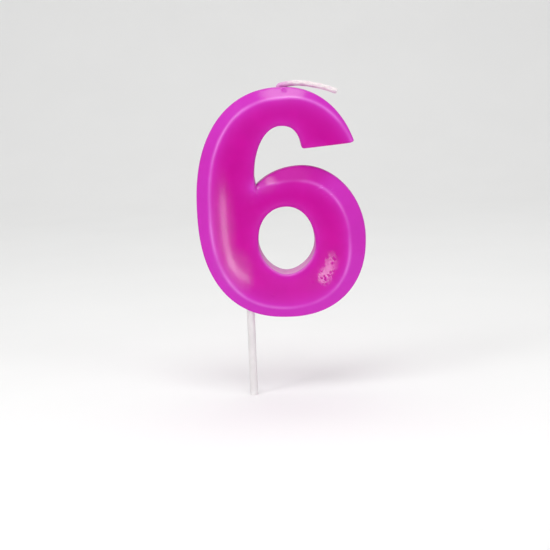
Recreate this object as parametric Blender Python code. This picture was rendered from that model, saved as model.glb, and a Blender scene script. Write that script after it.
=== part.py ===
"""Number birthday candle: a moulded wax "6" with its wick, on a round plastic pick.

The frame: +Z runs up the pick, the origin is where the pick enters the cake, the numeral's
front looks toward -Y, and +X is to the right of it. The sizes below are in millimetres, and
every mesh is scaled to metres as it is made.
"""
import math

import bpy
import numpy as np

MM = 0.001
GAP = 0.3                      # between neighbouring pieces

# The numeral's outline, as (X, Z) of the points where it runs level or upright.
LEFT = (-14.5, 56.7)
TOP = (11.5, 90.9)
RIGHT = (34.7, 46.7)
BOTTOM = (11.8, 23.75)
BOWL_TOP = (16.2, 68.2)
NOTCH_TOP = (10.75, 79.85)
NOTCH_LEFT = (2.6, 65.35)
CROTCH = (2.95, 62.9)          # where the bowl meets the stem
HOLE_LEFT = (3.1, 46.25)
HOLE_TOP = (11.6, 56.75)
HOLE_RIGHT = (19.75, 45.65)
HOLE_BOTTOM = (11.25, 36.85)
HOLE_SEAM = (7.0, 55.45)       # where the stroke's last section meets the hole
BOWL_TURN = (8.2, 66.1)        # where the rim begins to narrow toward the crotch

# Half widths and heights of the three quarter curves that are cut short.
HOOK_END = (21.6, 25.4)
NOTCH_END = (6.0, 9.2)
BOWL_START = (16.0, 12.15)
CUT_OUTER_Z = 74.6             # the flat cut that ends the hook, at its outer and inner corner
CUT_INNER_Z = 73.2

# Fullness of each quarter curve: 2 is an ellipse, more is squarer.
HOOK_FULLNESS = 2.08
SHOULDER_FULLNESS = 2.27
HEEL_FULLNESS = 2.4
TOE_FULLNESS = 2.23
BOWL_FULLNESS = 1.97
NOTCH_END_FULLNESS = 2.5
HOLE_FULLNESS = (2.2, 2.05, 1.82, 1.79)
HOLE_EASE = 1.6                # reach of the averaging that evens the hole's curvature
HOLE_POINTS = 400

# The numeral's thickness, measured from the mould's parting plane at Y = 0.
CREASE_HALF = 5.0              # at the ridge between the bevelled rim and the domed face
DOME_RISE = 1.0
DOME_REACH = 3.5               # how far from the ridge the dome takes most of its rise
BEVEL_SLOPE = 0.68
INNER_ROUND = 3.0              # width of the rounding along the notch and the hole
# Width of the bevelled rim, from the hook's tip round to the crotch.
RIM_WIDTHS = (0.7, 3.1, 4.0, 3.2, 5.0, 4.3, 3.2, 1.1)
VALLEY_BEND = 0.08             # how fast the line under the crotch runs off to the right
VALLEY_WIDTH = 0.3             # its half width at the crotch, and how fast that grows
VALLEY_SPREAD = 0.5

PICK_RADIUS = 1.2
PICK_BELOW = 28.0              # length pushed into the cake
PICK_TOP = 52.0                # its blind bore in the wax ends just above this height
PICK_POINT = 5.0               # length of the pointed tip
PICK_TIP_RADIUS = 0.25
PICK_EASE = 0.3                # bevel on its upper end
PICK_SIDES = 24
BORE_TOP = PICK_TOP + GAP
BORE_START = 20.0              # the bore's cutter begins well below the wax

WICK_RADIUS = 0.8
WICK_SIDES = 12
WICK_PIVOT = (10.9, 91.2)      # where the free end bends, in the mouth of its channel
WICK_INSIDE = ((10.75, 90.05), (10.2, 88.0), (7.6, 85.5), (2.6, 82.0), (-2.2, 76.4),
               (-5.1, 69.0), (-6.0, 62.0), (-6.1, 56.0))
WICK_FREE = (WICK_PIVOT, (12.3, 91.55), (14.1, 91.85), (15.9, 91.9), (17.9, 91.75),
             (21.0, 91.15), (24.2, 90.3), (27.6, 89.05))
WICK_GROOVE = 4                # points of the free end that lie over a groove in the wax

BEVEL_FRACTIONS = (0.0, 0.5, 1.0)
FACE_FRACTIONS = (0.2, 0.45, 0.7, 0.88, 1.0)
WALL_CELLS = 2
# Matching stations on the outer and inner side of the stroke, and the cells before each.
STATIONS = (
    (TOP, NOTCH_TOP, 9),
    ((-8.5, 80.5), (4.9, 75.5), 8),
    ((-14.3, 61.5), CROTCH, 6),
    ((-14.0, 50.5), HOLE_SEAM, len(BEVEL_FRACTIONS) + len(FACE_FRACTIONS) - 1),
    ((-13.2, 45.0), HOLE_LEFT, 4),
    ((-6.0, 30.7), (5.3, 40.0), 6),
    (BOTTOM, HOLE_BOTTOM, 6),
    ((28.5, 29.8), (17.2, 39.8), 6),
    (RIGHT, HOLE_RIGHT, 6),
    ((28.7, 62.0), (17.6, 53.2), 6),
    (BOWL_TOP, (13.3, 56.1), 6),
    (CROTCH, HOLE_SEAM, 6),
)


def clear_scene():
    """Remove whatever the file holds."""
    for old in list(bpy.data.objects):
        bpy.data.objects.remove(old, do_unlink=True)


def make_material(name, colour, roughness, metallic=0.0):
    """A plain Principled material."""
    material = bpy.data.materials.new(name)
    material.use_nodes = True
    shader = material.node_tree.nodes["Principled BSDF"]
    shader.inputs["Base Color"].default_value = (*colour, 1.0)
    shader.inputs["Roughness"].default_value = roughness
    shader.inputs["Metallic"].default_value = metallic
    return material


def make_object(name, points, faces, material, smooth_angle=40.0):
    """One object from points in millimetres and lists of point numbers."""
    mesh = bpy.data.meshes.new(name)
    mesh.from_pydata([tuple(p) for p in np.asarray(points) * MM], [], faces)
    mesh.shade_smooth()
    mesh.set_sharp_from_angle(angle=math.radians(smooth_angle))
    if material:
        mesh.materials.append(material)
    thing = bpy.data.objects.new(name, mesh)
    bpy.context.scene.collection.objects.link(thing)
    return thing


# ---- the outline ---------------------------------------------------------------------

def quarter(level, upright, fullness=2.0, start=0.0, count=90):
    """A quarter curve from its upright point to its level point, or from partway along.

    level is the point where the curve runs level, upright the one where it runs upright;
    start is the angle, out of a quarter turn, where the curve begins.
    """
    t = np.linspace(start, math.pi / 2, count)
    across = (upright[0] - level[0]) * np.cos(t).clip(0) ** (2 / fullness)
    up = (level[1] - upright[1]) * np.sin(t).clip(0) ** (2 / fullness)
    return np.stack([level[0] + across, upright[1] + up], axis=1)


def start_angle(height, half_height, fullness=2.0):
    """The angle at which a quarter curve has risen to a height."""
    return math.asin((height / half_height) ** (fullness / 2))


def outer_path():
    """The outline from the hook's tip, over the top and round the bowl, to the crotch."""
    hook = (TOP[0] + HOOK_END[0], TOP[1] - HOOK_END[1])
    tip = start_angle(CUT_OUTER_Z - hook[1], HOOK_END[1], HOOK_FULLNESS)
    bowl = (BOWL_TOP[0] - BOWL_START[0], BOWL_TOP[1] - BOWL_START[1])
    crotch = start_angle(CROTCH[1] - bowl[1], BOWL_START[1])
    return join(
        quarter(TOP, hook, HOOK_FULLNESS, start=tip),
        quarter(TOP, LEFT, SHOULDER_FULLNESS)[::-1],
        quarter(BOTTOM, LEFT, HEEL_FULLNESS),
        quarter(BOTTOM, RIGHT, TOE_FULLNESS)[::-1],
        quarter(BOWL_TOP, RIGHT, BOWL_FULLNESS),
        quarter(BOWL_TOP, bowl, start=crotch)[::-1],
    )


def notch_path():
    """The inner side of the hook and stem, from the cut down to the crotch."""
    side = (NOTCH_TOP[0] + NOTCH_END[0], NOTCH_TOP[1] - NOTCH_END[1])
    corner = start_angle(CUT_INNER_Z - side[1], NOTCH_END[1], NOTCH_END_FULLNESS)
    return join(
        quarter(NOTCH_TOP, side, NOTCH_END_FULLNESS, start=corner),
        quarter(NOTCH_TOP, NOTCH_LEFT)[::-1],
        np.linspace(NOTCH_LEFT, CROTCH, 12),
    )


def hole_path():
    """The hole's edge, down its left side and round, from its top to its top.

    Each point is moved to the mean of the stretch around it, so that the quarters run evenly
    into each other.
    """
    top_left, top_right, low_right, low_left = HOLE_FULLNESS
    loop = join(
        quarter(HOLE_TOP, HOLE_LEFT, top_left)[::-1],
        quarter(HOLE_BOTTOM, HOLE_LEFT, low_left),
        quarter(HOLE_BOTTOM, HOLE_RIGHT, low_right)[::-1],
        quarter(HOLE_TOP, HOLE_RIGHT, top_right),
    )
    length = along(loop)[-1]
    even = at(loop, np.linspace(0, length, HOLE_POINTS + 1))[:-1]
    reach = round(HOLE_EASE / length * HOLE_POINTS)
    mean = np.mean([np.roll(even, shift, axis=0) for shift in range(-reach, reach + 1)], axis=0)
    return np.vstack([mean, mean[:1]])


def join(*pieces):
    """Paths set end to end, without the doubled points."""
    return np.vstack([pieces[0]] + [piece[1:] for piece in pieces[1:]])


def along(path):
    """The distance along a path at each of its points."""
    steps = np.hypot(*np.diff(path, axis=0).T)
    return np.concatenate([[0.0], np.cumsum(steps)])


def at(path, distances):
    """The points of a path at given distances along it."""
    run = along(path)
    return np.stack([np.interp(distances, run, path[:, k]) for k in (0, 1)], axis=1)


def station(path, point):
    """How far along a path its nearest point to a given one lies."""
    return along(path)[np.hypot(*(path - point).T).argmin()]


def turned_hole(start):
    """The hole's edge, beginning and ending at its point nearest to start."""
    loop = hole_path()[:-1]
    first = np.hypot(*(loop - start).T).argmin()
    loop = np.roll(loop, -first, axis=0)
    return np.vstack([loop, loop[:1]])


# ---- the thickness -------------------------------------------------------------------

def nearest(points, path):
    """The distance from each point to a path, and how far along it the nearest spot is."""
    step = np.diff(path, axis=0)
    length = np.hypot(*step.T)
    off = points[:, None, :] - path[None, :-1, :]
    share = ((off * step).sum(axis=2) / length ** 2).clip(0, 1)
    gaps = np.hypot(*np.moveaxis(off - share[..., None] * step, 2, 0))
    best = gaps.argmin(axis=1)
    row = np.arange(len(points))
    return gaps[row, best], along(path)[best] + share[row, best] * length[best]


def rim_width(run):
    """The bevelled rim's width at distances along the outer side."""
    path = outer_path()
    marks = [station(path, p) for p in (TOP, LEFT, BOTTOM, RIGHT, BOWL_TOP, BOWL_TURN)]
    return np.interp(run, [0.0, *marks, along(path)[-1]], RIM_WIDTHS)


def rim_and_dome(depth, width):
    """Half thickness at a depth in from the outer side: a bevel, then a low dome."""
    bevel = CREASE_HALF - BEVEL_SLOPE * (width - depth)
    dome = CREASE_HALF + DOME_RISE * (1 - np.exp(-(depth - width).clip(0) / DOME_REACH))
    return np.where(depth < width, bevel, dome)


def inner_round(depth):
    """Half thickness at a depth in from the notch or the hole: a quarter round."""
    side = 1 - (depth / INNER_ROUND).clip(0, 1)
    return CREASE_HALF + DOME_RISE * np.sqrt(1 - side ** 2)


def half_thickness(points):
    """The numeral's half thickness at points of its face.

    The hook's stroke has a bevelled rim as far as the bowl's right side, and the bowl's ring
    has one from the stem round to the crotch. One turns into the other along a line from the
    crotch, over a width that grows with the distance below it.
    """
    outer = outer_path()
    run = along(outer)
    heel = np.searchsorted(run, station(outer, LEFT))
    side = np.searchsorted(run, station(outer, RIGHT))
    depth, place = nearest(points, outer[:side + 1])
    hook = rim_and_dome(depth, rim_width(place))
    hook = np.minimum(hook, inner_round(nearest(points, notch_path())[0]))
    depth, place = nearest(points, outer[heel:])
    ring = rim_and_dome(depth, rim_width(place + run[heel]))

    below = (CROTCH[1] - points[:, 1]).clip(0)
    past = points[:, 0] - CROTCH[0] - VALLEY_BEND * below ** 2
    width = VALLEY_WIDTH + VALLEY_SPREAD * below
    t = (0.5 + 0.5 * past / width).clip(0, 1)
    share = np.where(points[:, 1] > BOWL_TOP[1] + 0.1, 0.0, t * t * (3 - 2 * t))
    both = hook + (ring - hook) * share
    return np.minimum(both, inner_round(nearest(points, hole_path())[0]))


# ---- the numeral ---------------------------------------------------------------------

def rows(outer, crease, inner):
    """Points across the stroke at each station: over the bevel, then over the face."""
    bevel = [outer + f * (crease - outer) for f in BEVEL_FRACTIONS]
    face = [crease + f * (inner - crease) for f in FACE_FRACTIONS]
    return np.stack(bevel + face, axis=1)


def stroke():
    """The stroke as stations along it by points across it, and where its seam begins.

    The inner side follows the notch to the crotch, crosses the stem to the hole along the
    section that the stroke ends in, and then runs round the hole back to that section.
    """
    outer = outer_path()
    run = along(outer)
    hole = turned_hole(STATIONS[-1][1])
    notch = notch_path()
    outer_run, notch_run, hole_run = [0.0], [0.0], [0.0]
    seam_start = sum(cells for _, _, cells in STATIONS[:3])
    for number, (outside, inside, cells) in enumerate(STATIONS):
        last = number == len(STATIONS) - 1
        end = run[-1] if last else station(outer, outside)
        outer_run += list(np.linspace(outer_run[-1], end, cells + 1)[1:])
        if number < 3:
            end = along(notch)[-1] if number == 2 else station(notch, inside)
            notch_run += list(np.linspace(notch_run[-1], end, cells + 1)[1:])
        elif number > 3:
            end = along(hole)[-1] if last else station(hole, inside)
            hole_run += list(np.linspace(hole_run[-1], end, cells + 1)[1:])
    outside = at(outer, outer_run)
    step = 0.1
    ahead = at(outer, np.minimum(np.array(outer_run) + step, run[-1]))
    behind = at(outer, np.maximum(np.array(outer_run) - step, 0.0))
    tangent = (ahead - behind) / np.hypot(*(ahead - behind).T)[:, None]
    inward = np.stack([-tangent[:, 1], tangent[:, 0]], axis=1)
    crease = outside + inward * rim_width(np.array(outer_run))[:, None]
    seam = rows(outside[-1:], crease[-1:], hole[-1:])[0]
    inside = np.vstack([at(notch, notch_run)[:-1], seam, at(hole, hole_run)[1:]])
    return rows(outside, crease, inside), seam_start


def numeral_surface():
    """The numeral's points and faces: the stroke as a closed tube that ends in its side."""
    plan, seam_start = stroke()
    count, width = plan.shape[:2]
    across = width - 1
    size = 2 * across + 2 * WALL_CELLS
    half = half_thickness(plan.reshape(-1, 2)).reshape(count, width)

    def ring_of(i):
        front = [(x, -h, z) for (x, z), h in zip(plan[i], half[i])]
        back = [(x, h, z) for (x, z), h in zip(plan[i], half[i])]
        x, z = plan[i, -1]
        inner = [(x, y, z) for y in np.linspace(-half[i, -1], half[i, -1], WALL_CELLS + 1)]
        x, z = plan[i, 0]
        outer = [(x, y, z) for y in np.linspace(half[i, 0], -half[i, 0], WALL_CELLS + 1)]
        return front + inner[1:-1] + back[::-1] + outer[1:-1]

    points = [p for i in range(count) for p in ring_of(i)]
    number = np.arange(count * size).reshape(count, size)
    back = across + WALL_CELLS
    seam = seam_start + np.arange(width)
    number[-1, :width] = number[seam, across]
    number[-1, back:back + width] = number[seam, back][::-1]
    number[-1, across:back + 1] = number[seam[-1], across:back + 1]
    wall = [(back + across + k) % size for k in range(WALL_CELLS + 1)]
    number[-1, wall] = number[seam[0], across:back + 1][::-1]

    faces = [list(number[0])]
    for i in range(count - 1):
        for m in range(size):
            crossing = seam[0] <= i < seam[-1] and across <= m < back
            if not crossing:
                n = (m + 1) % size
                faces.append([number[i, m], number[i + 1, m], number[i + 1, n], number[i, n]])
    used = sorted({int(k) for face in faces for k in face})
    place = {k: n for n, k in enumerate(used)}
    faces = [[place[int(k)] for k in face][::-1] for face in faces]
    return [points[k] for k in used], faces


# ---- round bars ----------------------------------------------------------------------

def smooth_curve(points, spacing):
    """A Catmull-Rom curve through (X, Z) points, with a point about every spacing."""
    points = np.array(points)
    padded = np.vstack([2 * points[0] - points[1], points, 2 * points[-1] - points[-2]])
    pieces = []
    for a, b, c, d in zip(padded, padded[1:], padded[2:], padded[3:]):
        t = np.linspace(0, 1, 20)[:, None]
        pieces.append(0.5 * (2 * b + (c - a) * t + (2 * a - 5 * b + 4 * c - d) * t ** 2
                             + (3 * b - a - 3 * c + d) * t ** 3))
    path = join(*pieces)
    length = along(path)[-1]
    return at(path, np.linspace(0, length, max(2, round(length / spacing)) + 1))


def bar(name, path, radii, sides, material):
    """A round bar whose centre follows (X, Z) points, with flat ends."""
    path = np.array(path, dtype=float)
    tangent = np.gradient(path, axis=0)
    tangent /= np.hypot(*tangent.T)[:, None]
    points = []
    for (x, z), (tx, tz), radius in zip(path, tangent, radii):
        for turn in np.linspace(0, 2 * math.pi, sides, endpoint=False):
            off = radius * math.cos(turn)
            points.append((x + tz * off, radius * math.sin(turn), z - tx * off))
    faces = [list(range(sides))[::-1]]
    for i in range(len(path) - 1):
        for k in range(sides):
            n = (k + 1) % sides
            a, b = i * sides, (i + 1) * sides
            faces.append([a + k, a + n, b + n, b + k])
    faces.append([(len(path) - 1) * sides + k for k in range(sides)])
    return make_object(name, points, faces, material)


def upright(*heights):
    """Points on the pick's axis."""
    return [(0.0, z) for z in heights]


def cut_away(thing, cutter):
    """Cut one object out of another, and hide the cutter."""
    cutter.hide_render = True
    cutter.display_type = "WIRE"
    modifier = thing.modifiers.new("cut_" + cutter.name, "BOOLEAN")
    modifier.operation = "DIFFERENCE"
    modifier.solver = "EXACT"
    modifier.object = cutter


# ---- the pieces ----------------------------------------------------------------------

def make_numeral():
    """The wax numeral, with a blind bore for the pick and an open channel for the wick."""
    wax = make_material("magenta_wax", (0.56, 0.006, 0.32), 0.35)
    points, faces = numeral_surface()
    numeral = make_object("wax_numeral", points, faces, wax)
    bore = bar("pick_bore", upright(BORE_START, BORE_TOP), [PICK_RADIUS + GAP] * 2,
               PICK_SIDES, None)
    cut_away(numeral, bore)
    inside = smooth_curve(WICK_INSIDE, 2.0)
    foot = inside[-1] - (0.0, GAP)
    groove = smooth_curve(WICK_FREE[:WICK_GROOVE], 1.0)[::-1]
    route = np.vstack([groove, inside, foot])
    channel = bar("wick_channel", route, [WICK_RADIUS + GAP] * len(route), WICK_SIDES, None)
    cut_away(numeral, channel)
    return numeral


def make_pick():
    """The round plastic pick, with a pointed lower end and a slightly eased top."""
    plastic = make_material("milky_plastic", (0.80, 0.76, 0.78), 0.3)
    heights = (-PICK_BELOW, -PICK_BELOW + PICK_POINT, PICK_TOP - PICK_EASE, PICK_TOP)
    radii = (PICK_TIP_RADIUS, PICK_RADIUS, PICK_RADIUS, PICK_RADIUS - PICK_EASE)
    return bar("pick", upright(*heights), radii, PICK_SIDES, plastic)


def make_embedded_wick():
    """The wick's run inside the wax, down the middle of the stroke."""
    cotton = make_material("dyed_cotton", (0.62, 0.12, 0.36), 0.7)
    path = smooth_curve(WICK_INSIDE, 2.0)
    return bar("wick_embedded", path, [WICK_RADIUS] * len(path), WICK_SIDES, cotton)


def make_free_wick():
    """The wick's free end, with a ball end at the root that it bends about."""
    cotton = make_material("waxed_cotton", (0.86, 0.62, 0.66), 0.6)
    path = smooth_curve(WICK_FREE, 1.5)
    ahead = (path[1] - path[0]) / np.hypot(*(path[1] - path[0]))
    turns = np.radians([10.0, 35.0, 62.0])
    ball = [path[0] - ahead * WICK_RADIUS * math.cos(turn) for turn in turns]
    radii = [WICK_RADIUS * math.sin(turn) for turn in turns]
    route = np.vstack([ball, path])
    free = bar("wick_free_end", route, radii + [WICK_RADIUS] * len(path), WICK_SIDES, cotton)
    pivot = (WICK_PIVOT[0] * MM, 0.0, WICK_PIVOT[1] * MM)
    for vertex in free.data.vertices:
        vertex.co -= type(vertex.co)(pivot)
    free.location = pivot
    return free


def main():
    """Build the whole candle."""
    clear_scene()
    make_numeral()
    make_pick()
    make_embedded_wick()
    make_free_wick()


main()
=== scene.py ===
"""The finished look of a number birthday candle: cast wax "6", waxed cotton wick, plastic pick.

Sizes here are in millimetres, in the candle's own frame: +Z up the pick, whose entry into the
cake is the origin, and the numeral's front toward -Y. Meshes are scaled to metres when made.
"""
import math

import bpy
import numpy as np
from bpy.props import FloatProperty, FloatVectorProperty, IntProperty, PointerProperty
from mathutils import Matrix, Vector


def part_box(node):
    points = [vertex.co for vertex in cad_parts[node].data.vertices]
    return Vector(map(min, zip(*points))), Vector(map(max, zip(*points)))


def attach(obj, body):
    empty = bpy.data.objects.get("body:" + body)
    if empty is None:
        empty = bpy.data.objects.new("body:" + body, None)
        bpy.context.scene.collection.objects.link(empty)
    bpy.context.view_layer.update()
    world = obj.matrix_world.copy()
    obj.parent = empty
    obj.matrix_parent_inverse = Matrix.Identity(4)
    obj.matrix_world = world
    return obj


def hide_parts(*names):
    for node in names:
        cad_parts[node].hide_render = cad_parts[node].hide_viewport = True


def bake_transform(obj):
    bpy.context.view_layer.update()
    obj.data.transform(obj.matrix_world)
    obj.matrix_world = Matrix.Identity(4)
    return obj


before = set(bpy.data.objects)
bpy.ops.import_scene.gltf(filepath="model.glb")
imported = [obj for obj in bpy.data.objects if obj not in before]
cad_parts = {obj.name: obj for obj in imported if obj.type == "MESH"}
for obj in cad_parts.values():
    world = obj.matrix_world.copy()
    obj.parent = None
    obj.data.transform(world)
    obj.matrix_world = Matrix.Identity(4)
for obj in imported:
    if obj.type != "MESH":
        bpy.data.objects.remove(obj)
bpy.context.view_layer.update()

bl_info = {
    "name": "Number Birthday Candle",
    "version": (1, 0, 0),
    "blender": (4, 5, 0),
    "location": "View3D > Sidebar > Candle",
    "description": "Cast wax numeral with a waxed wick, on a plastic pick",
    "category": "Add Mesh",
}

MM = 0.001
WAX_LOW, WAX_HIGH = (np.array(corner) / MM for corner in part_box("wax_numeral"))
PICK_LOW, PICK_HIGH = (np.array(corner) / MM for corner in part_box("pick"))

# The numeral's outline, as (X, Z) of the points where it runs level or upright.
LEFT = (WAX_LOW[0], 56.7)
TOP = (11.5, WAX_HIGH[2])
RIGHT = (WAX_HIGH[0], 46.7)
BOTTOM = (11.8, WAX_LOW[2])
BOWL_TOP = (16.2, 68.2)
NOTCH_TOP = (10.75, 79.85)
NOTCH_LEFT = (2.6, 65.35)
CROTCH = (2.95, 62.9)
HOLE_LEFT = (3.1, 46.25)
HOLE_TOP = (11.6, 56.75)
HOLE_RIGHT = (19.75, 45.65)
HOLE_BOTTOM = (11.25, 36.85)
HOLE_SEAM = (7.0, 55.45)       # where the stroke's last section meets the hole

# Half widths and heights of the quarter curves that are cut short.
HOOK_END = (21.6, 25.4)
NOTCH_END = (6.0, 9.2)
BOWL_START = (16.0, 12.15)
CUT_OUTER_Z = 74.6
CUT_INNER_Z = 73.2

# Fullness of each quarter curve: 2 is an ellipse, more is squarer.
HOOK_FULLNESS = 2.08
SHOULDER_FULLNESS = 2.27
HEEL_FULLNESS = 2.4
TOE_FULLNESS = 2.23
BOWL_FULLNESS = 1.97
NOTCH_END_FULLNESS = 2.5
HOLE_FULLNESS = (2.2, 2.05, 1.82, 1.79)
HOLE_EASE = 1.6                # reach of the averaging that evens the hole's curvature
HOLE_POINTS = 400

# Matching points on the outer and inner side of the stroke.
STATIONS = (
    (TOP, NOTCH_TOP),
    ((-8.5, 80.5), (4.9, 75.5)),
    ((-14.3, 61.5), CROTCH),
    ((-14.0, 50.5), HOLE_SEAM),
    ((-13.2, 45.0), HOLE_LEFT),
    ((-6.0, 30.7), (5.3, 40.0)),
    (BOTTOM, HOLE_BOTTOM),
    ((28.5, 29.8), (17.2, 39.8)),
    (RIGHT, HOLE_RIGHT),
    ((28.7, 62.0), (17.6, 53.2)),
    (BOWL_TOP, (13.3, 56.1)),
    (CROTCH, HOLE_SEAM),
)
SEAM_STATION = 3               # the stretch that the stroke's end is welded to
BOWL_TURN = (8.2, 66.1)        # where the bevelled rim begins to narrow toward the crotch
# Width of the bevelled rim, from the hook's tip round to the crotch.
RIM_WIDTHS = (0.7, 3.1, 4.0, 3.2, 5.0, 4.3, 3.2, 1.1)

# The wick's route as (X, Z): its run inside the wax, up to the root, and its free end.
WICK_ROOT = (10.9, 91.2)
WICK_ROUTE = (
    (-6.1, 56.0), (-6.0, 62.0), (-5.1, 69.0), (-2.2, 76.4), (2.6, 82.0), (7.4, 85.6),
    (9.9, 88.3), (10.4, 90.0), WICK_ROOT, (12.3, 91.55), (14.1, 91.85), (15.9, 91.9),
    (17.9, 91.75), (21.0, 91.15), (24.2, 90.3), (27.6, 89.05),
)
WICK_RINGS = 420
WICK_SIDES = 36
WICK_END_ROUND = 0.5
BRAID_STRANDS = 3              # wound each way
BRAID_PITCH = 3.2              # length in which a strand goes once past its neighbour
BRAID_RELIEF = 0.035           # as a share of the radius
STRAND_VALLEY_TOP = 1.02               # relief below which the valleys between strands are darker
STRAND_VALLEY_FALL = 0.05              # and the further fall to the full darkening

PICK_POINT = 5.0               # length of the pointed tip
PICK_CROWN = 0.4               # radius of the rounded top's edge
PICK_TIP = 0.06                # radius of the blunt tip, as a share of the pick's
PICK_TAPER = 0.9               # power of the sine that the point swells by
PICK_SIDES = 40
TURN_RINGS = 12                # rings over the point, and over the rounded top
SHAFT_RINGS = 60

# The camera, with its lens for a 36 mm sensor.
CAMERA_AT = (8.6, -336.0, 91.1)
CAMERA_TILT = 80.7
CAMERA_TURN = 0.17
CAMERA_ROLL = -2.15
CAMERA_LENS = 75.3

# The floor, and the quarter circle that it rises on behind the candle.
FLOOR_FRONT = -6000.0
FLOOR_HALF = 4000.0
SWEEP_START = 500.0
SWEEP_RADIUS = 400.0
SWEEP_TURN = 1.57
SWEEP_TOP = 1600.0
WORLD_STRENGTH = 0.575


class CandleSettings(bpy.types.PropertyGroup):
    """What a user of the candle would change."""

    wax_colour: FloatVectorProperty(
        name="Wax colour", description="Colour of the dyed wax", subtype="COLOR",
        default=(0.50, 0.001, 0.28), min=0.0, max=1.0)
    # Rim colour: painted light, the paler wax at the rim that stands for reflection of bright
    # surroundings and light through the thin wax; also the wax stain on the wick.
    rim_light_and_stain_colour: FloatVectorProperty(
        name="Rim colour", description="Colour of the thin, paler wax at the rim",
        subtype="COLOR", default=(0.56, 0.03, 0.47), min=0.0, max=1.0)
    # Ridge colour: a painted highlight along the ridge and the hole's lower lip, and the colour
    # of the pale scuff marks.
    ridge_highlight_and_scuff_colour: FloatVectorProperty(
        name="Ridge colour", description="Colour of the wax where its ridge is rubbed pale",
        subtype="COLOR", default=(0.72, 0.16, 0.68), min=0.0, max=1.0)
    pick_colour: FloatVectorProperty(
        name="Pick colour", description="Colour of the milky plastic", subtype="COLOR",
        default=(0.70, 0.675, 0.68), min=0.0, max=1.0)
    cotton_colour: FloatVectorProperty(
        name="Cotton colour", description="Colour of the wick's clean cotton",
        subtype="COLOR", default=(0.80, 0.73, 0.735), min=0.0, max=1.0)
    crease_height: FloatProperty(
        name="Crease height", description="Half thickness at the ridge, in millimetres",
        default=5.0, min=3.0, max=8.0)
    dome_rise: FloatProperty(
        name="Dome rise", description="How far the face rises above the ridge, in mm",
        default=1.0, min=0.0, max=3.0)
    bevel_slope: FloatProperty(
        name="Bevel slope", description="Rise of the bevelled rim for each millimetre in",
        default=0.68, min=0.2, max=2.0)
    wick_radius: FloatProperty(
        name="Wick radius", description="Radius of the wick, in millimetres",
        default=0.8, min=0.3, max=2.0)
    fineness: IntProperty(
        name="Fineness", description="Cells of the wax surface for each centimetre along",
        default=24, min=6, max=30)


# ---- curves --------------------------------------------------------------------------

QUARTER_POINTS = 70


def quarter(level, upright, fullness=2.0, start=0.0):
    """A quarter of a superellipse, |x|^n + |z|^n = 1, from its upright to its level point."""
    t = np.linspace(start, math.pi / 2, QUARTER_POINTS)
    across = (upright[0] - level[0]) * np.cos(t).clip(0) ** (2 / fullness)
    up = (level[1] - upright[1]) * np.sin(t).clip(0) ** (2 / fullness)
    return np.stack([level[0] + across, upright[1] + up], axis=1)


def start_angle(height, half_height, fullness=2.0):
    """The angle at which a quarter curve has risen to a height."""
    return math.asin((height / half_height) ** (fullness / 2))


def join(*pieces):
    """Paths set end to end, without the doubled points."""
    return np.vstack([pieces[0]] + [piece[1:] for piece in pieces[1:]])


def along(path):
    """The distance along a path at each of its points."""
    steps = np.linalg.norm(np.diff(path, axis=0), axis=1)
    return np.concatenate([[0.0], np.cumsum(steps)])


def at(path, distances):
    """The points of a path at given distances along it."""
    run = along(path)
    return np.stack([np.interp(distances, run, column) for column in path.T], axis=1)


def station(path, point):
    """How far along a path its nearest point to a given one lies."""
    return along(path)[np.linalg.norm(path - point, axis=1).argmin()]


def tangents(path, distances, step=0.25):
    """Unit directions of a path at distances along it, from the points just before and after."""
    end = along(path)[-1]
    ahead = at(path, np.minimum(distances + step, end))
    chord = ahead - at(path, np.maximum(distances - step, 0.0))
    return chord / np.linalg.norm(chord, axis=1)[:, None]


def smooth_curve(points, count):
    """A Catmull-Rom curve through points, as count points evenly spaced along it."""
    points = np.array(points, float)
    padded = np.vstack([2 * points[0] - points[1], points, 2 * points[-1] - points[-2]])
    t = np.linspace(0, 1, 24)[:, None]
    pieces = [
        0.5 * (2 * b + (c - a) * t + (2 * a - 5 * b + 4 * c - d) * t ** 2
               + (3 * b - a - 3 * c + d) * t ** 3)
        for a, b, c, d in zip(padded, padded[1:], padded[2:], padded[3:])
    ]
    path = join(*pieces)
    return at(path, np.linspace(0, along(path)[-1], count))


def eased(loop, reach):
    """A closed path with each point moved to the mean of the stretch around it."""
    count = HOLE_POINTS
    even = at(loop, np.linspace(0, along(loop)[-1], count + 1))[:-1]
    half = round(reach / along(loop)[-1] * count)
    mean = sum(np.roll(even, shift, axis=0) for shift in range(-half, half + 1)) / (2 * half + 1)
    return np.vstack([mean, mean[:1]])


def outer_path():
    """The outline from the hook's tip, over the top and round the bowl, to the crotch."""
    hook = (TOP[0] + HOOK_END[0], TOP[1] - HOOK_END[1])
    tip = start_angle(CUT_OUTER_Z - hook[1], HOOK_END[1], HOOK_FULLNESS)
    bowl = (BOWL_TOP[0] - BOWL_START[0], BOWL_TOP[1] - BOWL_START[1])
    crotch = start_angle(CROTCH[1] - bowl[1], BOWL_START[1])
    return join(
        quarter(TOP, hook, HOOK_FULLNESS, start=tip),
        quarter(TOP, LEFT, SHOULDER_FULLNESS)[::-1],
        quarter(BOTTOM, LEFT, HEEL_FULLNESS),
        quarter(BOTTOM, RIGHT, TOE_FULLNESS)[::-1],
        quarter(BOWL_TOP, RIGHT, BOWL_FULLNESS),
        quarter(BOWL_TOP, bowl, start=crotch)[::-1],
    )


def notch_path():
    """The inner side of the hook and stem, from the cut down to the crotch."""
    side = (NOTCH_TOP[0] + NOTCH_END[0], NOTCH_TOP[1] - NOTCH_END[1])
    corner = start_angle(CUT_INNER_Z - side[1], NOTCH_END[1], NOTCH_END_FULLNESS)
    return join(
        quarter(NOTCH_TOP, side, NOTCH_END_FULLNESS, start=corner),
        quarter(NOTCH_TOP, NOTCH_LEFT)[::-1],
        np.linspace(NOTCH_LEFT, CROTCH, 12),
    )


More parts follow.
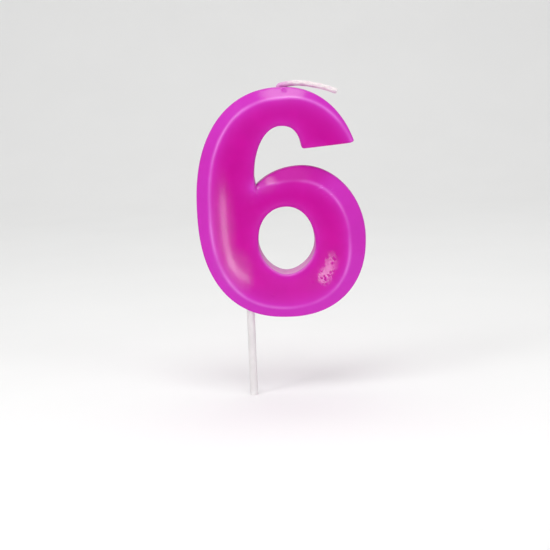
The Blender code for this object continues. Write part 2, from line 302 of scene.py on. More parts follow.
def hole_path():
    """The hole's edge, down its left side and round, from the seam back to the seam."""
    top_left, top_right, low_right, low_left = HOLE_FULLNESS
    loop = join(
        quarter(HOLE_TOP, HOLE_LEFT, top_left)[::-1],
        quarter(HOLE_BOTTOM, HOLE_LEFT, low_left),
        quarter(HOLE_BOTTOM, HOLE_RIGHT, low_right)[::-1],
        quarter(HOLE_TOP, HOLE_RIGHT, top_right),
    )[:-1]
    first = np.linalg.norm(loop - HOLE_SEAM, axis=1).argmin()
    loop = np.roll(loop, -first, axis=0)
    return eased(np.vstack([loop, loop[:1]]), HOLE_EASE)


# ---- the wax's thickness -------------------------------------------------------------

DOME_REACH = 3.5               # how far from the ridge the dome takes most of its rise
DOME_OUTSIDE = 6.0             # how far outside the ridge its curve is carried on
INNER_ROUND = 3.0              # width of the rounding along the notch and the hole
EDGE_ROUND = 0.8               # radius where the bevelled rim turns into the side
CREASE_SOFTNESS = 0.15         # widths of the fillets at the ridge, and at the inner edges
INNER_SOFTNESS = 0.3
VALLEY_BEND = 0.08             # how fast the crease under the crotch runs off to the right
VALLEY_WIDTH = 0.15            # its half width at the crotch, and how fast that grows
VALLEY_SPREAD = 0.5
RIM_FADE = 1.7                 # how far in from an edge the painted edge light reaches
INNER_PALENESS = 0.6           # how strong the painted edge light is at the notch and the hole
RIDGE_REACH = 0.42             # half width of the painted highlight along the ridge
LIP_REACH = 0.40               # and of the painted highlight round the lower half of the hole
RIDGE_CLEAR = 1.0              # how near the notch and the hole the painted highlight ends
HIGHLIGHT_RUN = 4.0               # run over which each of the two painted highlights comes to its full
CUT_ROUND = 0.7                # radius round the flat cut that ends the hook
CUT_ROUND_CELLS = 6
BEVEL_CELLS = 16
FACE_CELLS = 44
WALL_CELLS = 16
WALL_CROWDING = 0.65           # cubic share of the side rows' spacing
BEVEL_CROWDING = 1.3           # powers that crowd the cells toward the edges
FACE_CROWDING = 1.35
SWELL_RUN = 3.0                # distance from the cut and the crotch to the full draft
DRAFT_BULGE = 0.05             # how far the sides swell out toward the parting plane
SEAM_RIDGE = 0.06              # height and half width of the line the mould's halves leave
SEAM_WIDTH = 0.12
# Small dents and lumps left on the front: X, Z, radius, and height outward.
BLEMISHES = (
    (12.2, 90.0, 0.45, -0.45), (1.8, 61.2, 0.45, 0.18), (2.0, 58.8, 0.7, 0.10),
    (7.0, 31.0, 0.35, 0.12), (26.6, 60.0, 0.35, 0.10), (18.2, 34.6, 0.30, -0.12),
)
CHUNK = 3000                   # points measured at a time


def nearest(points, path):
    """Distance from each point to the nearest of a path's segments, and the run to that spot."""
    step = np.diff(path, axis=0)
    length = np.linalg.norm(step, axis=1)
    run = along(path)
    distances, places = [], []
    for first in range(0, len(points), CHUNK):
        off = points[first:first + CHUNK, None, :] - path[None, :-1, :]
        share = ((off * step).sum(axis=2) / length ** 2).clip(0, 1)
        gaps = np.linalg.norm(off - share[..., None] * step, axis=2)
        best = gaps.argmin(axis=1)
        row = np.arange(len(best))
        distances.append(gaps[row, best])
        places.append(run[best] + share[row, best] * length[best])
    return np.concatenate(distances), np.concatenate(places)


def softer(a, b, width):
    """The smaller of two heights, with the corner between them filleted over a width."""
    share = (0.5 + 0.5 * (b - a) / width).clip(0, 1)
    return b + (a - b) * share - width * share * (1 - share)


def rim_width(run):
    """The bevelled rim's width at distances along the outer side."""
    path = outer_path()
    marks = [station(path, p) for p in (TOP, LEFT, BOTTOM, RIGHT, BOWL_TOP, BOWL_TURN)]
    return np.interp(run, [0.0, *marks, along(path)[-1]], RIM_WIDTHS)


def rim_and_dome(depth, width, settings):
    """Half thickness at a depth in from the outer side.

    A straight bevel, filleted into the side by a small circle at its foot, then a dome whose
    rise falls off exponentially with the distance from the ridge.
    """
    slope = settings.bevel_slope
    foot = settings.crease_height - slope * width
    bevel = foot + slope * depth
    lean = math.hypot(1.0, slope)
    centre = foot + slope * EDGE_ROUND - EDGE_ROUND * lean
    inside = (EDGE_ROUND - depth).clip(0, EDGE_ROUND)
    fillet = centre + np.sqrt(EDGE_ROUND ** 2 - inside ** 2)
    bevel = np.where(depth < EDGE_ROUND * (1 - slope / lean), fillet, bevel)
    past = np.maximum(depth - width, -DOME_OUTSIDE)
    dome = settings.crease_height + settings.dome_rise * (1 - np.exp(-past / DOME_REACH))
    return softer(bevel, dome, CREASE_SOFTNESS)


def inner_round(depth, settings):
    """Half thickness at a depth in from the notch or hole: a quarter ellipse, then level."""
    side = 1 - (depth / INNER_ROUND).clip(0, 1)
    return settings.crease_height + settings.dome_rise * np.sqrt(1 - side ** 2)


def eased_step(values, width):
    """0 below -width and 1 above width, with a smooth cubic step between."""
    t = (0.5 + 0.5 * values / width).clip(0, 1)
    return t * t * (3 - 2 * t)


def half_thickness(points, settings):
    """Half the wax's thickness at points of its face.

    The hook's stroke has a bevelled rim along the outline as far as the bowl's right side,
    and the bowl's ring has one from the stem round to the crotch. One turns into the other
    along a line from the crotch, over a width that grows with the distance below it. The
    notch and the hole then round the face off along their edges.
    """
    outer = outer_path()
    run = along(outer)
    heel = np.searchsorted(run, station(outer, LEFT))
    side = np.searchsorted(run, station(outer, RIGHT))
    depth, place = nearest(points, outer[:side + 1])
    hook = rim_and_dome(depth, rim_width(place), settings)
    from_notch = nearest(points, notch_path())[0]
    hook = softer(hook, inner_round(from_notch, settings), INNER_SOFTNESS)
    depth, place = nearest(points, outer[heel:])
    ring = rim_and_dome(depth, rim_width(place + run[heel]), settings)

    below = (CROTCH[1] - points[:, 1]).clip(0)
    past = points[:, 0] - CROTCH[0] - VALLEY_BEND * below ** 2
    share = eased_step(past, VALLEY_WIDTH + VALLEY_SPREAD * below)
    share = np.where(points[:, 1] > BOWL_TOP[1] + 0.1, 0.0, share)
    both = hook + (ring - hook) * share
    from_hole = nearest(points, hole_path())[0]
    return softer(both, inner_round(from_hole, settings), INNER_SOFTNESS)


def paleness(points):
    """How much painted light pales the wax, and how strong its painted ridge highlight is.

    The first, a painted reflection and painted light through the thin wax, is 1 on the
    bevelled rim and falls off exponentially past the ridge, and in from the notch and the
    hole. The second, a painted highlight, is a bell curve across the ridge, and one in from
    the hole's lower lip.
    """
    depth, place = nearest(points, outer_path())
    past = depth - rim_width(place)
    rim = np.exp(-past.clip(0) / RIM_FADE)
    inner = np.minimum(nearest(points, notch_path())[0], nearest(points, hole_path())[0])
    lit = np.maximum(rim, INNER_PALENESS * np.exp(-inner / RIM_FADE))
    clear = ((inner - RIDGE_CLEAR) / HIGHLIGHT_RUN).clip(0, 1)
    ridge = np.exp(-(past / RIDGE_REACH) ** 2) * clear
    lower = ((HOLE_LEFT[1] - points[:, 1]) / HIGHLIGHT_RUN).clip(0, 1)
    lip = np.exp(-(nearest(points, hole_path())[0] / LIP_REACH) ** 2) * lower
    return lit, np.maximum(ridge, lip)


def blemishes(points):
    """How far small cast marks stand out of the front: a bell curve round each."""
    relief = np.zeros(points.shape[:-1])
    for x, z, radius, height in BLEMISHES:
        gap = np.linalg.norm(points - (x, z), axis=-1)
        relief += height * np.exp(-(gap / radius) ** 2)
    return relief


# ---- meshes and pieces ---------------------------------------------------------------

def make_piece(name, points, quads, caps=(), attributes=None):
    """One smooth-shaded object from points in millimetres, quads and a few end faces."""
    mesh = bpy.data.meshes.new(name)
    faces = [*np.asarray(quads).tolist(), *[list(cap) for cap in caps]]
    mesh.from_pydata(np.asarray(points, float) * MM, [], faces)
    mesh.shade_smooth()
    for title, values in (attributes or {}).items():
        layer = mesh.attributes.new(title, "FLOAT", "POINT")
        layer.data.foreach_set("value", np.asarray(values, np.float32))
    mesh.validate()
    piece = bpy.data.objects.new(name, mesh)
    bpy.context.scene.collection.objects.link(piece)
    return piece


def dress(piece, material, body, slot, *nodes):
    """Give a piece its material and its body, and hide the CAD nodes it stands for; the slot is
    not used.
    """
    piece.data.materials.append(material)
    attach(piece, body)
    if nodes:
        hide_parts(*nodes)


def grid_quads(number):
    """Quads over a grid of point numbers, wound with the second direction after the first."""
    corners = [number[:-1, :-1], number[1:, :-1], number[1:, 1:], number[:-1, 1:]]
    return np.stack(corners, axis=-1).reshape(-1, 4)


def across(outer, crease, inner):
    """Points over the bevel and then over the face, at every station, crowded at the edges."""
    over_bevel = np.linspace(0, 1, BEVEL_CELLS + 1)[1:] ** BEVEL_CROWDING
    s = np.linspace(0, 1, FACE_CELLS + 1)[1:]
    over_face = 1 - (1 - s) ** FACE_CROWDING
    bevel = outer[:, None] + over_bevel[:, None] * (crease - outer)[:, None]
    face = crease[:, None] + over_face[:, None] * (inner - crease)[:, None]
    return np.concatenate([outer[:, None], bevel, face], axis=1)


def stroke_plan(fineness):
    """The stroke in plan: stations along it by points across it, with the seam's first station.

    The inner side follows the notch to the crotch, crosses the stem along the section that
    the stroke ends in, and then runs round the hole back to that section. Returns the plan,
    the outward directions of its two sides, the distance from the cut, and the seam's start.
    """
    outer, notch, hole = outer_path(), notch_path(), hole_path()
    turn = np.linspace(0, math.pi / 2, CUT_ROUND_CELLS + 1)
    outer_run = notch_run = CUT_ROUND * (1 - np.cos(turn))
    hole_run = np.array([0.0])
    seam_start = 0
    for number, (outside, inside) in enumerate(STATIONS):
        last = number == len(STATIONS) - 1
        end = along(outer)[-1] if last else station(outer, outside)
        cells = round((end - outer_run[-1]) * fineness / 10) + 2
        if number == SEAM_STATION:
            cells = BEVEL_CELLS + FACE_CELLS
            seam_start = len(outer_run) - 1
        share = np.linspace(0, 1, cells + 1)[1:]
        outer_run = np.append(outer_run, outer_run[-1] + share * (end - outer_run[-1]))
        if number < SEAM_STATION:
            end = along(notch)[-1] if inside == CROTCH else station(notch, inside)
            notch_run = np.append(notch_run, notch_run[-1] + share * (end - notch_run[-1]))
        elif number > SEAM_STATION:
            end = along(hole)[-1] if last else station(hole, inside)
            hole_run = np.append(hole_run, hole_run[-1] + share * (end - hole_run[-1]))
    outside = at(outer, outer_run)
    tangent = tangents(outer, outer_run)
    outward = np.stack([tangent[:, 1], -tangent[:, 0]], axis=1)
    crease = outside - outward * rim_width(outer_run)[:, None]
    seam = across(outside[-1:], crease[-1:], hole[-1:])[0]
    inside = np.vstack([at(notch, notch_run)[:-1], seam, at(hole, hole_run)[1:]])
    loop = np.vstack([hole[-2:-1], hole, hole[1:2]])
    inner_tangent = np.vstack([
        tangents(notch, notch_run)[:-1], np.zeros_like(seam),
        tangents(loop, hole_run + np.linalg.norm(hole[-1] - hole[-2]))[1:],
    ])
    inward = np.stack([-inner_tangent[:, 1], inner_tangent[:, 0]], axis=1)
    return across(outside, crease, inside), outward, inward, outer_run, seam_start


def wall_rows(height):
    """Heights of the side's rows, from -height to height, crowded toward the parting plane."""
    s = np.linspace(-1, 1, WALL_CELLS + 1)
    return height[:, None] * ((1 - WALL_CROWDING) * s + WALL_CROWDING * s ** 3)


def side_wall(edge, height, outward, swell):
    """A side of the wax: rows from front to back along an edge.

    Each row stands out from the edge by a parabola that is highest at the parting plane, and
    by a narrow bell that is the parting line.
    """
    y = wall_rows(height)
    bulge = DRAFT_BULGE * (1 - (y / height[:, None]) ** 2)
    ridge = SEAM_RIDGE * np.exp(-(y / SEAM_WIDTH) ** 2)
    out = (bulge + ridge) * swell[:, None]
    x = edge[:, None, 0] + outward[:, None, 0] * out
    z = edge[:, None, 1] + outward[:, None, 1] * out
    return np.stack([x, y, z], axis=2)


def wax_surface(settings):
    """The whole numeral as one closed surface.

    The stroke is a tube: each station is a ring that runs over the front, down the inner
    side, back over the rear and up the outer side. The tube's open end is welded into its
    own side at the seam, and the hook's cut is closed by a flat grid. Near the cut the ring
    shrinks along a quarter circle, which rounds the cut's edges. Returns the points, the
    quads, and each point's painted edge light, painted ridge highlight and 1 if it is on an
    inner wall.
    """
    plan, outward, inward, run, seam_start = stroke_plan(settings.fineness)
    count, width = plan.shape[:2]
    last = width - 1
    flat = plan.reshape(-1, 2)
    height = half_thickness(flat, settings).reshape(count, width)
    looks = np.stack([*paleness(flat), np.zeros(len(flat))]).reshape(-1, count, width)

    inset = CUT_ROUND - np.sqrt(CUT_ROUND ** 2 - (CUT_ROUND - run).clip(0) ** 2)
    span = np.linalg.norm(plan[:, -1] - plan[:, 0], axis=1)
    middle = (plan[:, :1] + plan[:, -1:]) / 2
    plan = middle + (plan - middle) * (1 - 2 * inset / span)[:, None, None]
    height = height - inset[:, None]

    fade = (run / SWELL_RUN).clip(0, 1)
    from_crotch = (np.linalg.norm(plan - CROTCH, axis=2) / SWELL_RUN).clip(0, 1)
    outer_swell = fade * from_crotch[:, 0]
    inner_swell = fade * from_crotch[:, -1]
    column = np.arange(width)[None, :, None]
    near_outer = (1 - column / BEVEL_CELLS).clip(0) * outer_swell[:, None, None]
    near_inner = (1 - (last - column) / BEVEL_CELLS).clip(0) * inner_swell[:, None, None]
    plan = plan - DRAFT_BULGE * (near_outer * outward[:, None] + near_inner * inward[:, None])
    inner_wall = side_wall(plan[:, -1], height[:, -1], inward, inner_swell)
    outer_wall = side_wall(plan[:, 0], height[:, 0], outward, outer_swell)
    back = np.stack([plan[..., 0], height, plan[..., 1]], axis=2)
    front = back * (1, -1, 1)
    front[:, 1:-1, 1] -= blemishes(plan)[:, 1:-1]
    rings = np.concatenate(
        [front, inner_wall[:, 1:-1], back[:, ::-1], outer_wall[:, ::-1][:, 1:-1]], axis=1)
    outside = np.zeros((len(looks), count, WALL_CELLS - 1))
    outside[0] = 1.0
    inside = outside * looks[..., -1:]
    inside[2] = 1.0
    looks = np.concatenate([looks, inside, looks[..., ::-1], outside], axis=2)

    size = rings.shape[1]
    number = np.arange(count * size).reshape(count, size)
    rear = last + WALL_CELLS
    seam = seam_start + np.arange(width)
    number[-1, :width] = number[seam, last]
    number[-1, rear:rear + width] = number[seam, rear][::-1]
    number[-1, last:rear + 1] = number[seam[-1], last:rear + 1]
    number[-1, (rear + last + np.arange(WALL_CELLS + 1)) % size] = \
        number[seam[0], last:rear + 1][::-1]
    closed = np.concatenate([number, number[:, :1]], axis=1)
    quads = grid_quads(closed).reshape(count - 1, size, 4)
    kept = np.ones((count - 1, size), bool)
    kept[seam[0]:seam[-1], last:rear] = False
    quads = quads[kept]

    first = rings[0]
    cut = number[0]
    row = np.arange(WALL_CELLS + 1)
    cap = np.zeros((width, WALL_CELLS + 1), int)
    cap[:, 0] = cut[:width]
    cap[:, -1] = cut[rear:rear + width][::-1]
    cap[0] = cut[(size - row) % size]
    cap[-1] = cut[last + row]
    cap[1:-1, 1:-1] = count * size + np.arange((width - 2) * (WALL_CELLS - 1)).reshape(
        width - 2, WALL_CELLS - 1)
    y = wall_rows(height[0, 1:-1])[:, 1:-1]
    x, z = (np.repeat(first[1:last, k:k + 1], WALL_CELLS - 1, axis=1) for k in (0, 2))
    inside = np.stack([x, y, z], axis=2).reshape(-1, 3)
    quads = np.vstack([quads, grid_quads(cap)])
    points = np.vstack([rings.reshape(-1, 3), inside])
    cut_looks = np.repeat(looks[:, 0, 1:last], WALL_CELLS - 1, axis=1)
    looks = np.concatenate([looks.reshape(len(looks), -1), cut_looks], axis=1)

    used, quads = np.unique(quads, return_inverse=True)
    return points[used], quads.reshape(-1, 4), looks[:, used]


def tube(path, radii, sides, ripple=None):
    """A round tube along (X, Z) points: rings square to the path, with their radii.

    ripple(angle, run) multiplies the radius at each point, for strands and the like.
    """
    run = along(path)
    tangent = tangents(path, run, step=0.1)
    angle = np.linspace(0, 2 * math.pi, sides, endpoint=False)
    radius = np.asarray(radii)[:, None] * np.ones(sides)
    if ripple:
        radius = radius * ripple(angle[None], run[:, None])
    off = radius * np.cos(angle)
    x = path[:, :1] + tangent[:, 1:] * off
    z = path[:, 1:] - tangent[:, :1] * off
    points = np.stack([x, radius * np.sin(angle), z], axis=2)
    number = np.arange(len(path) * sides).reshape(-1, sides)
    closed = np.concatenate([number, number[:, :1]], axis=1)
    quads = grid_quads(closed)[:, ::-1]
    return points, number, quads


def rounded_ends(path, radius, reach):
    """Radii along a path that close almost to a point over a quarter circle at each end."""
    run = along(path)
    in_from_end = np.minimum(run, run[-1] - run).clip(0, reach)
    return radius * np.sqrt(1 - (1 - in_from_end / reach) ** 2).clip(0.02)


# ---- materials -----------------------------------------------------------------------

NEAR_CORE = 0.35               # share of a soft patch's reach that is at its full
# Colour of the painted light on the hole's lower wall, which faces up.
INNER_WALL_LIGHT_COLOUR = (0.9, 0.62, 0.8, 1)


class Wire:
    """One output of a node: +, - and * on it add Math nodes, numbers on either side."""

    def __init__(self, board, socket):
        self.board = board
        self.socket = socket

    def _maths(self, operation, a, b):
        return self.board.node("ShaderNodeMath", {"operation": operation}, {0: a, 1: b})

    def __add__(self, other):
        return self._maths("ADD", self, other)

    __radd__ = __add__

    def __sub__(self, other):
        return self._maths("SUBTRACT", self, other)

    def __rsub__(self, other):
        return self._maths("SUBTRACT", other, self)

    def __mul__(self, other):
        return self._maths("MULTIPLY", self, other)

    __rmul__ = __mul__

    def between(self, low, high):
        """0 below low and 1 above high, with an eased ramp between."""
        settings = {"interpolation_type": "SMOOTHSTEP"}
        return self.board.node("ShaderNodeMapRange", settings, {0: self, 1: low, 2: high})


class Board:
    """A material under construction, with its Principled shader."""

    def __init__(self, name, **constants):
        self.material = bpy.data.materials.new(name)
        self.material.use_nodes = True
        self.tree = self.material.node_tree
        self.shader = self.tree.nodes["Principled BSDF"]
        for title, value in constants.items():
            self.shader.inputs[title.replace("_", " ")].default_value = value

    def node(self, kind, settings=None, values=None, out=0):
        """A node of any type, with its settings set first and then its sockets' values."""
        made = self.tree.nodes.new(kind)
        for key, value in (settings or {}).items():
            setattr(made, key, value)
        for key, value in (values or {}).items():
            self.plug(made.inputs[key], value)
        return Wire(self, made.outputs[out])

    def plug(self, socket, value):
        """Link a wire to a socket, or set the socket's own value."""
        if isinstance(value, Wire):
            self.tree.links.new(value.socket, socket)
        else:
            socket.default_value = value

    def place(self):
        """The piece's own coordinates, in metres."""
        return self.node("ShaderNodeTexCoord", out="Object")

    def axis(self, which):
        """One of the piece's own coordinates, in millimetres."""
        parts = self.node("ShaderNodeSeparateXYZ", values={0: self.place()}, out=which)
        return parts * (1 / MM)

    def carried(self, title):
        """A value that the mesh carries at its points."""
        return self.node("ShaderNodeAttribute", {"attribute_name": title}, out="Fac")

    def mapped(self, scale):
        """The piece's own coordinates, multiplied by a scale along each axis."""
        return self.node("ShaderNodeMapping", values={0: self.place(), "Scale": scale})

    def noise(self, size, detail=3.0, roughness=0.5, stretch=(1, 1, 1)):
        """Cloudy noise with features of about a size in millimetres."""
        values = {"Vector": self.mapped([1 / (size * MM * s) for s in stretch]),
                  "Scale": 1.0, "Detail": detail, "Roughness": roughness}
        return self.node("ShaderNodeTexNoise", values=values)

    def cells(self, size):
        """Distance to the nearest of scattered points, over the size of their spacing."""
        values = {"Vector": self.mapped([1 / (size * MM)] * 3), "Scale": 1.0}
        return self.node("ShaderNodeTexVoronoi", values=values)

    def near(self, centre, reach):
        """1 at a point, falling to 0 at the skin of an ellipsoid round it, in millimetres."""
        away = self.node("ShaderNodeVectorMath", {"operation": "SUBTRACT"},
                         {0: self.place(), 1: [c * MM for c in centre]})
        away = self.node("ShaderNodeVectorMath", {"operation": "DIVIDE"},
                         {0: away, 1: [r * MM for r in reach]})
        gap = self.node("ShaderNodeVectorMath", {"operation": "LENGTH"}, {0: away}, out="Value")
        return 1 - gap.between(NEAR_CORE, 1.0)

    def mix(self, factor, a, b):
        """Colour a where the factor is 0 and colour b where it is 1."""
        settings = {"data_type": "RGBA"}
        return self.node("ShaderNodeMix", settings, {0: factor, 6: a, 7: b}, out=2)

    def bump(self, height, depth):
        """A normal from a height of 0 to 1 that stands for a depth in millimetres."""
        values = {"Height": height, "Distance": depth * MM, "Strength": 1.0}
        return self.node("ShaderNodeBump", values=values)

    def surface(self, **links):
        """Feed the Principled shader's varying inputs."""
        for title, value in links.items():
            self.plug(self.shader.inputs[title.replace("_", " ")], value)
        return self.material


def rgba(colour, gain=1.0):
    """A colour property as four numbers, brightened or darkened by a gain."""
    return (*[min(1.0, c * gain) for c in colour], 1.0)


def wax_material(settings):
    """Dyed paraffin: translucent and softly glossy, with painted light in its colour.

    A painted reflection and painted light through the thin wax pale the rim and the inner
    edges. A painted highlight runs along the ridge and the hole's lower lip. Painted shade
    darkens the bowl's top under the hook and the pits, and painted light pales the hole's
    lower wall.

    The clear coat is the shine that handling leaves: along the ridge, on the crown, down the
    stem and on a pitted patch low on the right.
    """
    board = Board(
        "dyed_paraffin_wax", IOR=1.15, Subsurface_Weight=0.25, Subsurface_Scale=0.0012,
        Subsurface_Radius=(1.0, 0.2, 0.7), Coat_Roughness=0.16, Coat_IOR=1.5)
    # Painted light: the rim and the inner edges are paled toward the rim colour as a painted
    # reflection and painted light through the thin wax.
    lit = board.carried("painted_edge_light")
    ridge = board.carried("ridge")
    cloud = board.noise(7.0, detail=4.0)
    grain = board.noise(0.5, detail=5.0, roughness=0.6)
    rise = board.axis(2)
    ends = rise.between(70.0, 86.0) * 0.12 + (1 - rise.between(24.0, 46.0)) * 0.30
    # Painted shade: the bowl's top, under the hook, keeps less of the painted edge light.
    hook_shade = 1 - board.near((14.0, -4.0, 66.5), (16.0, 6.0, 7.0)) * 0.6
    pale = lit * hook_shade * (0.7 + cloud * 0.4) + ends
    deep = board.mix(cloud.between(0.35, 0.75), rgba(settings.wax_colour, 0.96),
                     rgba(settings.wax_colour, 1.04))
    colour = board.mix(pale, deep, rgba(settings.rim_light_and_stain_colour))
    # Painted highlight along the ridge and round the hole's lower lip.
    highlighted = ridge * board.noise(16.0, detail=2.0).between(0.25, 0.65)
    colour = board.mix(highlighted * (0.45 + cloud * 0.5), colour, rgba(settings.ridge_highlight_and_scuff_colour))
    # Painted light: the hole's lower wall, which faces up, is paled toward this colour.
    low = 1 - rise.between(38.0, 47.0)
    colour = board.mix(board.carried("inner_wall") * low * 0.45, colour, INNER_WALL_LIGHT_COLOUR)

    pitted = board.near((24.3, -5.8, 40.0), (2.8, 4.0, 4.4))
    pitted = (pitted + board.near((22.3, -5.8, 35.9), (3.0, 4.0, 3.9))).between(0.0, 0.9)
    scuffed = board.near((23.5, -4.8, 61.0), (4.5, 2.0, 4.0)) * (0.15 + ridge)
    crown = board.near((12.3, -4.0, 89.5), (10.0, 4.0, 3.8))
    stem = board.near((-7.3, -5.8, 51.0), (5.2, 4.0, 21.0))
    stem = stem + board.near((-3.0, -5.8, 38.0), (5.5, 4.0, 9.0))
    bowl = board.near((5.4, -4.6, 63.4), (5.0, 4.0, 3.6))
    pits = 1 - board.cells(1.15).between(0.28, 0.42)
    pits = pits * pitted * board.noise(1.6).between(0.36, 0.44)
    scratches = board.noise(0.8, detail=2.0, stretch=(2.2, 1.0, 0.6)).between(0.56, 0.68)
    scratches = scratches * scuffed
    colour = board.mix(scratches * 0.6, colour, rgba(settings.ridge_highlight_and_scuff_colour))
    # Painted shade: the pits are darkened.
    colour = board.mix(pits * 0.3, colour, rgba(settings.wax_colour, 0.85))
    height = board.noise(2.6, detail=2.0) * 0.5 + grain * 0.08 - pits * 0.55
    gloss = 0.34 + grain * 0.12 + scratches * 0.1
    sheen = 0.04 + highlighted * 0.6 + pitted * 0.65 + crown * 0.9 + stem * 0.9 + bowl * 0.9
    return board.surface(Base_Color=colour, Roughness=gloss, Coat_Weight=sheen - pits * 0.7,
                         Normal=board.bump(height, 0.08))


def plastic_material(settings):
    """Milky moulded plastic, a little cloudy, with faint draw lines along it."""
    board = Board(
        "milky_plastic", IOR=1.49, Subsurface_Weight=0.3, Subsurface_Scale=0.0012,
        Subsurface_Radius=(1.0, 0.95, 0.95), Coat_Weight=0.1, Coat_Roughness=0.15)
    draw = board.noise(0.35, detail=3.0, stretch=(1, 1, 40))
    cloud = board.noise(6.0, detail=2.0, stretch=(1, 1, 2))
    colour = board.mix(cloud.between(0.3, 0.7), rgba(settings.pick_colour, 0.95),
                       rgba(settings.pick_colour, 1.05))
    return board.surface(Base_Color=colour, Roughness=0.26 + draw * 0.16,
                         Normal=board.bump(draw, 0.03))


def cotton_material(settings):
    """Waxed cotton braid: cream-pink, dyed by the wax toward its root."""
    board = Board(
        "waxed_cotton", IOR=1.46, Subsurface_Weight=0.2, Subsurface_Scale=0.0006,
        Subsurface_Radius=(1.0, 0.7, 0.7), Sheen_Weight=0.25, Sheen_Roughness=0.4)
    run = board.carried("wick_run")
    valley = board.carried("strand_valley")
    fibre = board.noise(0.16, detail=4.0, roughness=0.65)
    stain = 1 - (run + (board.noise(1.4) - 0.5) * 3.0).between(-0.5, 5.5)
    clean = board.mix(fibre.between(0.3, 0.7), rgba(settings.cotton_colour, 0.9),
                      rgba(settings.cotton_colour, 1.1))
    dyed = board.mix(stain * 0.6, clean, rgba(settings.rim_light_and_stain_colour, 1.1))
    # The valleys between strands are darker.
    colour = board.mix(valley * 0.16, dyed, rgba(settings.rim_light_and_stain_colour, 0.8))
    height = fibre * 0.6 - valley * 0.4
    return board.surface(Base_Color=colour, Roughness=0.5 + fibre * 0.25,
                         Normal=board.bump(height, 0.05))


def floor_material():
    """A pale, matt, seamless paper."""
    board = Board("pale_paper", IOR=1.3)
    cloud = board.noise(60.0, detail=2.0)
    colour = board.mix(cloud, (0.86, 0.86, 0.855, 1), (0.89, 0.89, 0.885, 1))
    return board.surface(Base_Color=colour, Roughness=0.75 + cloud * 0.1)


# ---- the pieces ----------------------------------------------------------------------

def build_numeral(settings):
    """The cast wax numeral."""
    # painted_edge_light is painted edge light; ridge is the painted highlight along the ridge
    # and the hole's lower lip.
    points, quads, (lit, ridge, inside) = wax_surface(settings)
    numeral = make_piece(
        "cast_wax_numeral", points, quads,
        attributes={"painted_edge_light": lit, "ridge": ridge, "inner_wall": inside})
    dress(numeral, wax_material(settings), "numeral", "wax", "wax_numeral")


def build_pick(settings):
    """The pick: a round tube up its axis, with a pointed tip and a rounded top.

    The point's radius grows with a power of the sine over its length. The top's edge is a
    quarter circle.
    """
    radius = (PICK_HIGH[0] - PICK_LOW[0]) / 2
    low, high = PICK_LOW[2], PICK_HIGH[2]
    turn = np.linspace(0, math.pi / 2, TURN_RINGS)
    point = low + np.linspace(0, PICK_POINT, TURN_RINGS)
    shaft = np.linspace(point[-1], high - PICK_CROWN, SHAFT_RINGS)[1:]
    crown = high - PICK_CROWN * (1 - np.sin(turn[1:]))
    z = np.concatenate([point, shaft, crown])
    radii = np.concatenate([
        radius * (PICK_TIP + (1 - PICK_TIP) * np.sin(turn) ** PICK_TAPER),
        np.full(len(shaft), radius),
        radius - PICK_CROWN * (1 - np.cos(turn[1:])),
    ])
    path = np.stack([np.zeros_like(z), z], axis=1)
    points, number, quads = tube(path, radii, PICK_SIDES)
    pick = make_piece("plastic_pick", points.reshape(-1, 3), quads,
                      caps=(number[0][::-1], number[-1]))
    dress(pick, plastic_material(settings), "pick", "pick", "pick")


def braid(angle, run):
    """Relief of a braided cord: the higher of two sets of strands wound opposite ways.

    Each set is a cosine of the angle times the strand count, turned by the run.
    """
    turns = 2 * math.pi * run / BRAID_PITCH
    left = np.cos(BRAID_STRANDS * angle + turns)
    right = np.cos(BRAID_STRANDS * angle - turns)
    return 1 + BRAID_RELIEF * np.maximum(left, right)


def build_wick(settings):
    """The wick, from its end inside the wax to its loose tip, as one braided cord."""
    path = smooth_curve(WICK_ROUTE, WICK_RINGS)
    run = along(path)
    radii = rounded_ends(path, settings.wick_radius, WICK_END_ROUND)
    points, number, quads = tube(path, radii, WICK_SIDES, ripple=braid)
    angle = np.linspace(0, 2 * math.pi, WICK_SIDES, endpoint=False)
    relief = braid(angle[None], run[:, None])
    valley = ((STRAND_VALLEY_TOP - relief) / STRAND_VALLEY_FALL).clip(0, 1)
    past_root = run - station(path, WICK_ROOT)
    wick = make_piece(
        "braided_wick", points.reshape(-1, 3), quads, caps=(number[0][::-1], number[-1]),
        attributes={"strand_valley": valley.ravel(),
                    "wick_run": np.repeat(past_root, WICK_SIDES)})
    wick.data.materials.append(cotton_material(settings))
    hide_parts("wick_embedded", "wick_free_end")
    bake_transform(wick)


# ---- the stage -----------------------------------------------------------------------

def soft_light(name, at_mm, aim_mm, size_mm, brightness):
    """A soft box that looks at a point, as bright on its face as brightness white walls."""
    lamp = bpy.data.lights.new(name, "AREA")
    lamp.shape = "RECTANGLE"
    lamp.size, lamp.size_y = (s * MM for s in size_mm)
    lamp.energy = brightness * math.pi * lamp.size * lamp.size_y
    light = bpy.data.objects.new(name, lamp)
    light.visible_camera = False
    bpy.context.scene.collection.objects.link(light)
    light.location = Vector(at_mm) * MM
    aim = Vector(aim_mm) - Vector(at_mm)
    light.rotation_euler = aim.to_track_quat("-Z", "Y").to_euler()


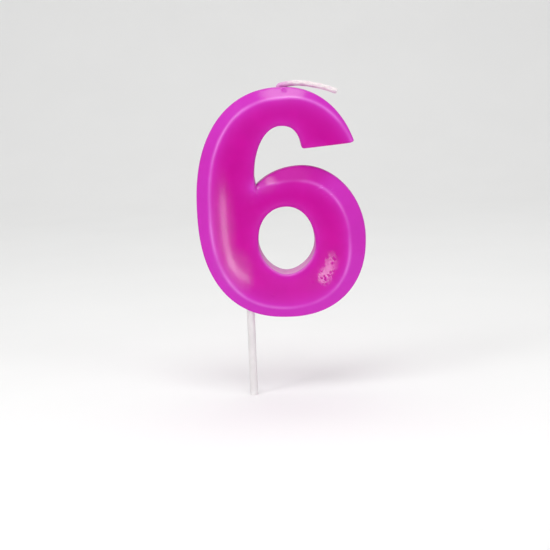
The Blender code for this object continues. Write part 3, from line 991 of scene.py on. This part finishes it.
def build_stage():
    """The floor at the height of the cake's top, a sweep behind it, lights and the camera."""
    turn = np.linspace(0, SWEEP_TURN, 16)[1:]
    depth = np.concatenate([
        [FLOOR_FRONT], np.linspace(-900, SWEEP_START, 8),
        SWEEP_START + SWEEP_RADIUS * np.sin(turn), [SWEEP_START + SWEEP_RADIUS]])
    rise = np.concatenate([np.zeros(9), SWEEP_RADIUS * (1 - np.cos(turn)), [SWEEP_TOP]])
    x = np.array([-FLOOR_HALF, 0.0, FLOOR_HALF])
    number = np.arange(len(depth) * 3).reshape(-1, 3)
    points = np.stack([
        np.tile(x, len(depth)), np.repeat(depth, 3), np.repeat(rise, 3)], axis=1)
    floor = make_piece("floor_sweep", points, grid_quads(number)[:, ::-1])
    floor.data.materials.append(floor_material())

    world = bpy.data.worlds.new("studio")
    bpy.context.scene.world = world
    world.use_nodes = True
    background = world.node_tree.nodes["Background"]
    background.inputs["Color"].default_value = (1.0, 1.0, 1.0, 1)
    background.inputs["Strength"].default_value = WORLD_STRENGTH
    bpy.context.scene.view_settings.view_transform = "Standard"

    middle = (10, 0, 57)
    soft_light("ceiling", (0, 330, 750), (0, 260, 0), (1100, 700), 0.85)
    soft_light("overhead", (10, -190, 450), middle, (240, 200), 3.6)
    soft_light("left_box", (-310, -270, 230), middle, (110, 280), 2.6)
    soft_light("right_box", (330, -270, 210), middle, (110, 280), 2.6)
    soft_light("left_strip", (-36, -130, 27), (-7, 0, 46), (16, 48), 4.2)
    soft_light("heel_strip", (-22, -130, -6), (-2, 0, 36), (24, 32), 5.5)
    soft_light("right_strip", (36, -115, 8), (23, 0, 38), (24, 28), 8.5)
    soft_light("shoulder", (-215, -180, 340), (5, 0, 63), (100, 100), 5.0)

    lens = bpy.data.cameras.new("view")
    lens.lens = CAMERA_LENS
    camera = bpy.data.objects.new("view", lens)
    bpy.context.scene.collection.objects.link(camera)
    turn = Matrix.Rotation(math.radians(CAMERA_TURN), 4, "Z")
    tilt = Matrix.Rotation(math.radians(CAMERA_TILT), 4, "X")
    roll = Matrix.Rotation(math.radians(CAMERA_ROLL), 4, "Z")
    camera.matrix_world = Matrix.Translation(Vector(CAMERA_AT) * MM) @ turn @ tilt @ roll
    bpy.context.scene.camera = camera


# ---- the add-on ----------------------------------------------------------------------

class CANDLE_OT_numeral(bpy.types.Operator):
    """Cast the wax numeral over its CAD solid"""

    bl_idname = "candle.numeral"
    bl_label = "Wax numeral"

    def execute(self, context):
        build_numeral(context.scene.number_candle)
        return {"FINISHED"}


class CANDLE_OT_pick(bpy.types.Operator):
    """Mould the plastic pick over its CAD solid"""

    bl_idname = "candle.pick"
    bl_label = "Pick"

    def execute(self, context):
        build_pick(context.scene.number_candle)
        return {"FINISHED"}


class CANDLE_OT_wick(bpy.types.Operator):
    """Braid the wick over its two CAD solids, bending at its root"""

    bl_idname = "candle.wick"
    bl_label = "Wick"

    def execute(self, context):
        build_wick(context.scene.number_candle)
        return {"FINISHED"}


class CANDLE_OT_stage(bpy.types.Operator):
    """Set the pale floor, the soft lights and the camera"""

    bl_idname = "candle.stage"
    bl_label = "Stage"

    def execute(self, context):
        build_stage()
        return {"FINISHED"}


OPERATORS = (CANDLE_OT_stage, CANDLE_OT_numeral, CANDLE_OT_pick, CANDLE_OT_wick)


class CANDLE_PT_panel(bpy.types.Panel):
    """The candle's settings and the operators that make it"""

    bl_label = "Number Birthday Candle"
    bl_idname = "CANDLE_PT_panel"
    bl_space_type = "VIEW_3D"
    bl_region_type = "UI"
    bl_category = "Candle"

    def draw(self, context):
        settings = context.scene.number_candle
        for title in settings.__annotations__:
            self.layout.prop(settings, title)
        for operator in OPERATORS:
            self.layout.operator(operator.bl_idname)


CLASSES = (CandleSettings, *OPERATORS, CANDLE_PT_panel)


def register():
    """Register the classes and hang the settings on the scene."""
    for each in CLASSES:
        bpy.utils.register_class(each)
    bpy.types.Scene.number_candle = PointerProperty(type=CandleSettings)


def unregister():
    """Take the settings and the classes away again."""
    del bpy.types.Scene.number_candle
    for each in reversed(CLASSES):
        bpy.utils.unregister_class(each)


def main():
    """Make everything in order."""
    register()
    bpy.ops.candle.stage()
    bpy.ops.candle.numeral()
    bpy.ops.candle.pick()
    bpy.ops.candle.wick()


if __name__ == "__main__":
    main()
